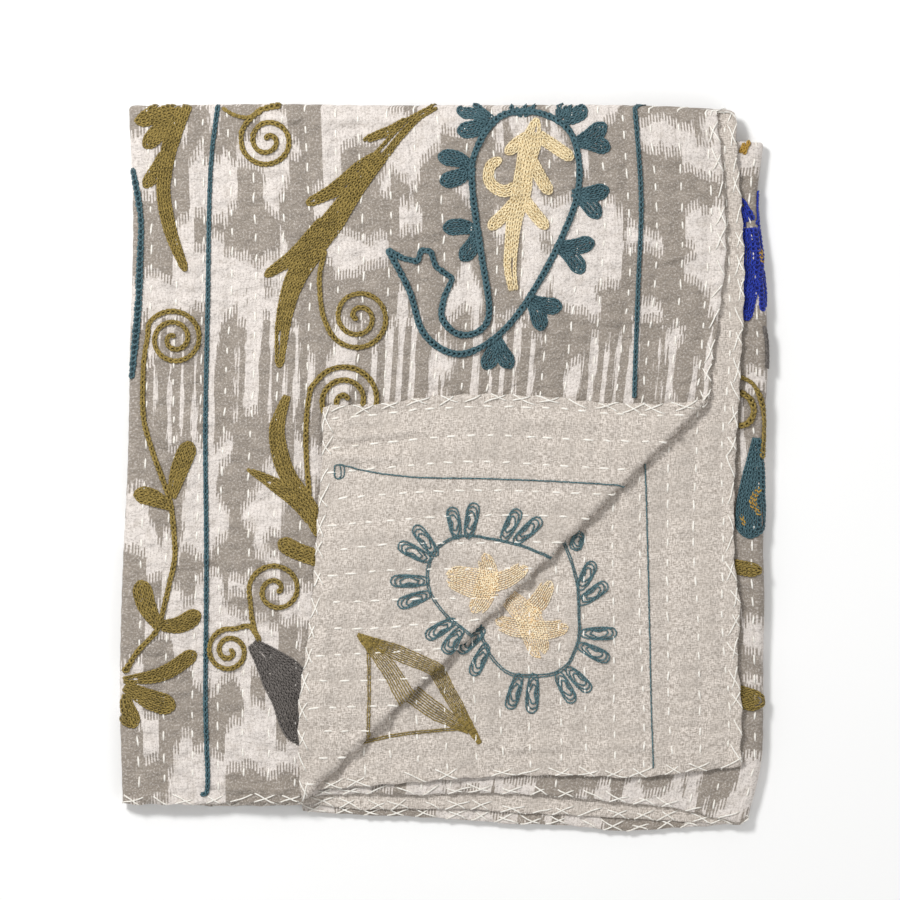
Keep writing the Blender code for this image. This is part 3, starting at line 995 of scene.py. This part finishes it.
def make_vines():
    olive = Embroidery("olive", "embroidery_olive")
    frond(olive, [(-246, 345), (-256, 322), (-263, 298), (-267, 264), (-262, 232), (-255, 210), (-246, 188)],
          (14, 17, 15, 14, 14, 12, 8),
          (([(-247, 342), (-268, 339), (-292, 329)], (12, 16, 18, 14)),
           ([(-254, 332), (-270, 321), (-285, 306)], (12, 16, 18, 14)),
           ([(-262, 306), (-271, 287), (-285, 268)], (11, 15, 15, 12))))
    olive.curl([(-131, 344), (-150, 344), (-174, 340)], (-167, 311), 27, 2.05, 118, False)
    olive.line([(-210, 342), (-200, 336), (-186, 333), (-173, 338)], width=4.6)
    frond(olive, [(-8, 343), (-32, 328), (-57, 300), (-81, 268), (-104, 236), (-126, 206), (-143, 175),
                  (-152, 140), (-156, 96)],
          (7, 12, 15, 17, 23, 23, 19, 15, 9),
          (([(-24, 334), (-48, 322), (-76, 311)], (7, 10, 10, 7)),
           ([(-50, 304), (-79, 284), (-104, 264), (-130, 251)], (10, 16, 15, 9)),
           ([(-90, 252), (-117, 226), (-142, 202), (-169, 183)], (14, 20, 15, 9))))
    olive.curl([(-113, 206), (-118, 182), (-116, 152)], (-81, 143), 31, 2.1, 196, False)
    # Vine down the left side.
    olive.curl([(-287, 64), (-286, 100), (-282, 126)], (-257, 123), 28, 2.2, 150, True)
    olive.line([(-287, 64), (-285, 42), (-276, 12), (-266, -15), (-260, -35), (-257, -60), (-256, -85),
                (-261, -109), (-267, -134), (-273, -154), (-293, -176), (-303, -194)], width=6.4)
    for base, tip, width, bend in (
        ((-259, -28), (-241, 24), 18, 0.03), ((-260, -37), (-294, -24), 17, -0.06),
        ((-272, -151), (-289, -108), 19, 0.06), ((-273, -150), (-233, -138), 17, -0.12),
        ((-304, -202), (-237, -176), 15, -0.10), ((-303, -208), (-257, -228), 20, -0.04),
        ((-304, -216), (-294, -246), 18, -0.08),
    ):
        olive.leaf(*club(base, tip, width, bend))
    # Leaves, stalk and spirals beside the turned corner.
    olive.leaf([(-149, 68), (-157, 45), (-158, 26), (-150, -4), (-133, -30), (-112, -66)],
               (8, 15, 17, 16, 17, 20))
    olive.leaf([(-186, -1), (-160, -16), (-134, -36), (-110, -66)], (5, 15, 18, 18))
    olive.leaf([(-112, -88), (-137, -80), (-156, -70)], (17, 17, 17))
    olive.curl([(-128, -26), (-131, 10), (-131, 45), (-127, 74)], (-93, 64), 34, 2.3, 150, True, width=6.4)
    olive.curl([(-175, -164), (-181, -146), (-184, -122)], (-159, -116), 26, 1.6, 174, True)
    olive.curl([(-175, -162), (-184, -150)], (-204, -174), 22, 1.9, 74, False)
    # Thin line over the left fold.
    olive.line([(-303, 44), (-301, 28), (-304, 8)], width=4.0)
    return olive.make()


def make_petal():
    grey = Embroidery("grey", "embroidery_grey")
    grey.leaf([(-181, -167), (-158, -192), (-138, -222), (-124, -262)], (12, 40, 50, 50))
    return grey.make()


PAISLEY = [(-53, 207), (-33, 168), (-18, 126), (16, 108), (56, 130), (90, 176), (118, 232), (128, 268),
           (127, 298), (117, 322), (88, 337), (52, 332), (29, 298), (27, 262), (35, 205), (43, 150),
           (34, 130), (13, 127), (-2, 142), (0, 162)]
CROWN = [(0, 162), (8, 180), (-8, 191), (-13, 206), (-22, 207), (-25, 196), (-39, 199), (-53, 207)]
Bud = namedtuple("Bud", "x y first_angle second_angle reach")
BUDS = (
    Bud(46, 330, 164, 198, 34), Bud(75, 335, 68, 112, 17), Bud(110, 330, 24, 66, 27),
    Bud(123, 309, 29, -10, 34), Bud(122, 261, 6, -42, 34), Bud(107, 211, 6, -46, 35),
    Bud(80, 161, -14, -67, 32), Bud(50, 125, -64, -111, 32), Bud(28, 286, 164, 205, 34),
    Bud(32, 226, 177, 241, 32),
)
BORDER = dict(width=5.6, link=5.2, strand=1.3)


def make_paisley():
    teal = Embroidery("teal", "embroidery_teal")
    teal.line(PAISLEY, width=7.6, link=4.8, strand=1.72)
    for start, end in zip(CROWN[:-1], CROWN[1:]):
        teal.row(evenly(smooth_line([start, end]), 4.6), "top", 6.8, 1.55)
    for bud in BUDS:
        for angle, bend in ((bud.first_angle, -0.08), (bud.second_angle, 0.08)):
            turn = math.radians(angle)
            tip = (bud.x + bud.reach * math.cos(turn), bud.y + bud.reach * math.sin(turn))
            teal.leaf(*club((bud.x, bud.y), tip, 16.0, bend))
    # Straight lines of the border.
    teal.line([(-215, 344), (-222, 281), (-225, 160), (-227, 36), (-226, -87), (-227, -220), (-225, -302),
               (-231, -311)], **BORDER)
    teal.line([(181, 345), (187, 255), (184, 169), (181, 67)], **BORDER)
    teal.line([(-296, 290), (-291, 259), (-288, 231), (-289, 188), (-290, 160), (-293, 122), (-296, 86)],
              **BORDER)
    # Leaf on the strip that shows at the right.
    teal.leaf([(297, 28), (295, 0), (292, -30), (291, -66)], (8, 20, 28, 30), "right_strip")
    return teal.make()


def make_branch():
    cream = Embroidery("cream", "embroidery_cream")
    cream.leaf([(66, 169), (63, 189), (64, 210), (67, 236), (73, 261), (77, 287), (82, 308), (88, 331)],
               (10, 13, 14, 16, 20, 18, 22, 8))
    for spine, widths in (
        ([(87, 317), (104, 306), (122, 294)], (13, 13, 13)),
        ([(82, 316), (70, 308), (59, 299)], (13, 13, 12)),
        ([(74, 271), (57, 263), (43, 272), (44, 287), (54, 293)], (12, 12, 12, 11, 10)),
        ([(82, 294), (91, 277), (101, 261)], (13, 13, 13)),
        ([(69, 254), (56, 240), (43, 228)], (13, 13, 13)),
        ([(76, 255), (86, 242), (98, 228)], (13, 13, 13)),
    ):
        cream.leaf(spine, widths)
    return cream.make()


def make_strip():
    blue, ochre = Embroidery("blue", "embroidery_blue"), Embroidery("ochre", "embroidery_ochre")
    olive, grey = Embroidery("olive", "embroidery_olive_strip"), Embroidery("grey", "embroidery_grey_strip")
    strip = "right_strip"
    blue.leaf([(292, 228), (294, 205), (292, 180), (289, 158), (288, 141)], (17, 21, 20, 17, 11), strip)
    blue.leaf([(292, 222), (288, 240), (282, 256)], (14, 12, 9), strip)
    blue.leaf([(296, 214), (300, 234), (301, 248), (298, 264)], (13, 10, 9, 7), strip)
    blue.leaf([(300, 192), (303, 170), (303, 150)], (7, 8, 7), strip)
    ochre.leaf([(284, 300), (290, 314)], (8, 8), strip)
    ochre.leaf([(301, 208), (302, 196)], (6, 6), strip)
    ochre.leaf([(300, -18), (294, -32), (300, -44)], (6, 8, 6), strip)
    ochre.leaf([(284, -44), (286, -54)], (6, 6), strip)
    olive.line([(281, 87), (294, 80), (301, 64), (303, 42), (302, 10)], strip, 5.0)
    olive.line([(282, 72), (291, 66), (295, 54), (290, 43), (281, 40)], strip, 7.5, 4.9, 1.8)
    olive.leaf([(276, -94), (300, -98)], (15, 15), strip)
    olive.leaf([(276, -216), (303, -224)], (22, 22), strip)
    grey.line([(304, 134), (306, 116), (306, 96)], strip, 4.0)
    return [piece for thread in (blue, ochre, olive, grey) for piece in thread.make()]


# Thread lines of the embroidery on the plain side: rows of short straight stitches.
BACK_PATH = np.linspace(0, 1, 4)
BACK_ARCH = np.array([0.05, 0.42, 0.42, 0.05]) * MM


class BackLines:
    """Thread of one colour on the plain side."""

    def __init__(self, colour, name):
        self.colour, self.name, self.rows = colour, name, []

    def line(self, points, where, radius, stitch, gap=0.0, over=0):
        """A row of stitches, with some more of them past its end, round the roll of the turned corner."""
        spots = flat_at(evenly(smooth_line(points), stitch), where)
        onward = spots[-1] - spots[-2]
        spots = np.concatenate([spots, spots[-1] + onward * np.arange(1, over + 1)[:, None]])
        run = spots[1:] - spots[:-1]
        self.rows.append((spots[:-1] + gap * run, spots[1:] - gap * run, np.full(len(run), radius * MM)))

    def loop(self, base, tip, width, where):
        """A long round ended loop, sewn round a few times."""
        base, tip = np.array(base, float), np.array(tip, float)
        base = base + 0.13 * (base - tip)
        run = tip - base
        beside = np.array((-run[1], run[0])) / np.linalg.norm(run)
        outs = np.array([0.02, 0.12, 0.5, 0.86, 0.97, 1.0, 0.97, 0.86, 0.5, 0.12, 0.0])
        sides = np.array([0.1, 0.62, 0.9, 0.85, 0.5, 0.0, -0.5, -0.85, -0.9, -0.62, -0.1])
        for size, shift in ((1.0, 0.0), (0.78, 0.12), (0.5, 0.2)):
            out = size * outs + (1 - size) * 0.5 + 0.1 * shift
            side = (size * sides + shift * np.sin(9 * outs)) * width / 2
            self.line(base + out[:, None] * run + side[:, None] * beside, where, 0.95, 3.4)

    def bundle(self, points, widths, count, where):
        """Lines side by side that spread and meet again, with the bundle's widths at its points."""
        line = smooth_line(points)
        run = run_of(line)
        wide = np.interp(run / run[-1], np.linspace(0, 1, len(widths)), widths)
        tangent = unit(np.gradient(line, axis=0))
        beside = np.stack([-tangent[:, 1], tangent[:, 0]], -1)
        over = 2 if where == "flap" else 0
        for share in np.linspace(-0.5, 0.5, count):
            self.line(line + beside * (wide * share)[:, None], where, 0.72, 5.2, 0.0, over)

    def fill(self, spine, widths, where):
        """Rows of short stitches that cover a lobe."""
        for number, row in enumerate(leaf_rows(spine, widths, 2.2)[0]):
            self.line(row[number * 7 % 9:len(row) - number * 5 % 8], where, 0.74, 3.3, 0.1)

    def make(self):
        thread = Thread(self.name, YARNS[self.colour])
        rng = np.random.default_rng(len(self.name))
        start, end, radius = (np.concatenate(part) for part in zip(*self.rows))
        good = np.linalg.norm(end - start, axis=1) < 12 * MM
        start, end, radius = start[good], end[good], radius[good]
        spots = start[:, None] + (end - start)[:, None] * BACK_PATH[None, :, None]
        spots = spots + rng.normal(0, 0.16 * MM, spots.shape)
        lift = np.broadcast_to(BACK_ARCH, spots.shape[:2]) + rng.uniform(0, 0.3 * MM, (len(start), 1))
        points, normals = surface(spots[..., 0], spots[..., 1], -1, lift)
        thread.add(points, normals, radius[:, None])
        return thread.make()


Loop = namedtuple("Loop", "base tip")
FLAP_LOOPS = (
    Loop((12, -64), (7, -37)), Loop((23, -63), (29, -33)), Loop((57, -66), (71, -39)),
    Loop((69, -69), (92, -48)), Loop((-9, -80), (-28, -55)), Loop((-16, -86), (-43, -72)),
    Loop((-18, -107), (-51, -107)),
    Loop((-16, -120), (-44, -130)), Loop((8, -146), (-17, -161)), Loop((16, -154), (0, -175)),
)
SECOND_LOOPS = (
    Loop((130, -113), (142, -89)), Loop((131, -127), (155, -110)), Loop((133, -157), (164, -157)),
    Loop((130, -169), (157, -182)), Loop((119, -192), (139, -212)), Loop((109, -197), (123, -223)),
    Loop((85, -199), (83, -233)), Loop((71, -199), (62, -229)), Loop((40, -170), (27, -197)),
    Loop((36, -155), (14, -175)), Loop((129, -62), (124, -78)),
)


def make_back_lines():
    teal = BackLines("pale_teal", "back_lines_teal")
    for knot in (8.0, 5.0):
        teal.line([(-104, 2), (-104 + knot, 3), (-103 + knot, -8), (-103, -10), (-104, 2)], "flap", 0.7, 3.0)
    teal.line([(-98, 3), (-68, -4), (-25, -9), (40, -10), (110, -13), (161, -16)], "flap", 0.9, 6.0, 0.0, 6)
    teal.line([(190, 12), (191, 2), (193, -60), (195, -140), (197, -220), (199, -284)], "second", 0.9, 6.0)
    ring = [(49, -67), (23, -63), (7, -66), (-8, -76), (-15, -90), (-17, -107), (-12, -123), (2, -141),
            (17, -153)]
    ring_end = [(49, -67), (74, -73), (92, -80)]
    second_ring = [(112, -64), (116, -73), (123, -92), (128, -114), (129, -141), (129, -161), (123, -179),
                   (112, -193), (94, -198), (65, -197), (49, -186), (38, -168), (34, -152), (33, -144)]
    for closer in (0.0, 0.035):
        for points, where, middle in ((ring, "flap", (42, -108)), (ring_end, "flap", (42, -108)),
                                      (second_ring, "second", (82, -138))):
            moved = np.array(points) + closer * (np.array(middle) - points)
            teal.line(moved, where, 0.8, 4.4, 0.0, 6 if where == "flap" else 0)
    for loops, where in ((FLAP_LOOPS, "flap"), (SECOND_LOOPS, "second")):
        for base, tip in loops:
            teal.loop(base, tip, 12.5, where)
    cream = BackLines("straw", "back_lines_cream")
    for where, lobes in (
        ("flap", (((38, -81), (44, -116), 17), ((2, -101), (54, -112), 27), ((28, -138), (42, -102), 20),
                  ((79, -93), (34, -112), 17))),
        ("second", (((101, -107), (76, -140), 17), ((56, -118), (88, -146), 20),
                    ((118, -150), (74, -152), 17), ((49, -146), (86, -152), 17),
                    ((92, -180), (76, -130), 24))),
    ):
        for tip, base, width in lobes:
            bent = ((base[0] + tip[0]) / 2 + 2, (base[1] + tip[1]) / 2 - 3)
            cream.fill([base, bent, tip], (width, 1.1 * width, 0.8 * width), where)
    olive = BackLines("olive", "back_lines_olive")
    olive.bundle([(-82, -158), (-47, -174), (-9, -190)], (3, 14, 12), 8, "flap")
    olive.bundle([(-80, -160), (-54, -188), (-38, -214)], (4, 14, 17), 8, "flap")
    olive.bundle([(-8, -190), (9, -221), (34, -262)], (14, 12, 4), 9, "second")
    olive.bundle([(-36, -210), (-11, -229), (24, -250)], (17, 16, 6), 8, "second")
    olive.bundle([(-72, -166), (-71, -210), (-72, -253)], (2, 2, 2), 2, "flap")
    olive.bundle([(-83, -262), (-40, -253), (11, -248), (26, -246)], (2, 2, 2, 2), 2, "second")
    return [thread.make() for thread in (teal, cream, olive)]


THREADS = [
    make_quilting(), make_hem(), *make_vines(), *make_petal(), *make_paisley(), *make_branch(),
    *make_strip(), *make_back_lines(),
]
for thread_piece in THREADS:
    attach(thread_piece, "root")


# Floor, light and camera.
SCALE_AT_PHOTO = 0.95 * MM
VIEW_CENTRE = (6 * SCALE_AT_PHOTO, 18 * SCALE_AT_PHOTO)
VIEW_WIDTH = 900 * SCALE_AT_PHOTO
LENS, SENSOR = 180.0, 36.0
OBJECT_TOP = 0.026
FLOOR_Z = -2.1 * MM
WORLD_STRENGTH = 0.51


def make_floor():
    n = Nodes("pale_floor")
    mottle = n.noise(n.position(), 3.0, 2.0)
    n.wire(n.mix(mottle, (0.93, 0.93, 0.925), (0.96, 0.96, 0.955)), n.shader.inputs["Base Color"])
    n.shader.inputs["Roughness"].default_value = 0.9
    floor = quad_piece("floor", [(-6, -6, 0), (6, -6, 0), (6, 6, 0), (-6, 6, 0)], [(0, 1, 2, 3)], n.material)
    floor.location.z = FLOOR_Z


def area_light(name, at, size, power):
    light = bpy.data.lights.new(name, "AREA")
    light.shape = "SQUARE"
    light.size = size
    light.energy = power
    lamp = bpy.data.objects.new(name, light)
    lamp.location = at
    lamp.rotation_euler = (Vector((0, 0, 0)) - Vector(at)).to_track_quat("-Z", "Y").to_euler()
    bpy.context.scene.collection.objects.link(lamp)


def make_light_and_camera():
    world = bpy.data.worlds.new("studio")
    world.use_nodes = True
    background = world.node_tree.nodes["Background"]
    background.inputs[0].default_value = (1.0, 1.0, 1.0, 1.0)
    background.inputs[1].default_value = WORLD_STRENGTH
    bpy.context.scene.world = world
    area_light("window", (-1.25, 1.4, 2.3), 0.6, 63)
    area_light("fill", (2.0, -1.6, 2.2), 2.0, 15)
    camera = bpy.data.objects.new("camera", bpy.data.cameras.new("camera"))
    camera.data.lens, camera.data.sensor_width = LENS, SENSOR
    distance = VIEW_WIDTH * LENS / SENSOR
    camera.location = (VIEW_CENTRE[0], VIEW_CENTRE[1], OBJECT_TOP + distance)
    camera.data.clip_end = 50
    bpy.context.scene.collection.objects.link(camera)
    bpy.context.scene.camera = camera
    bpy.context.scene.view_settings.view_transform = "Standard"


make_floor()
make_light_and_camera()

bpy.context.view_layer.update()
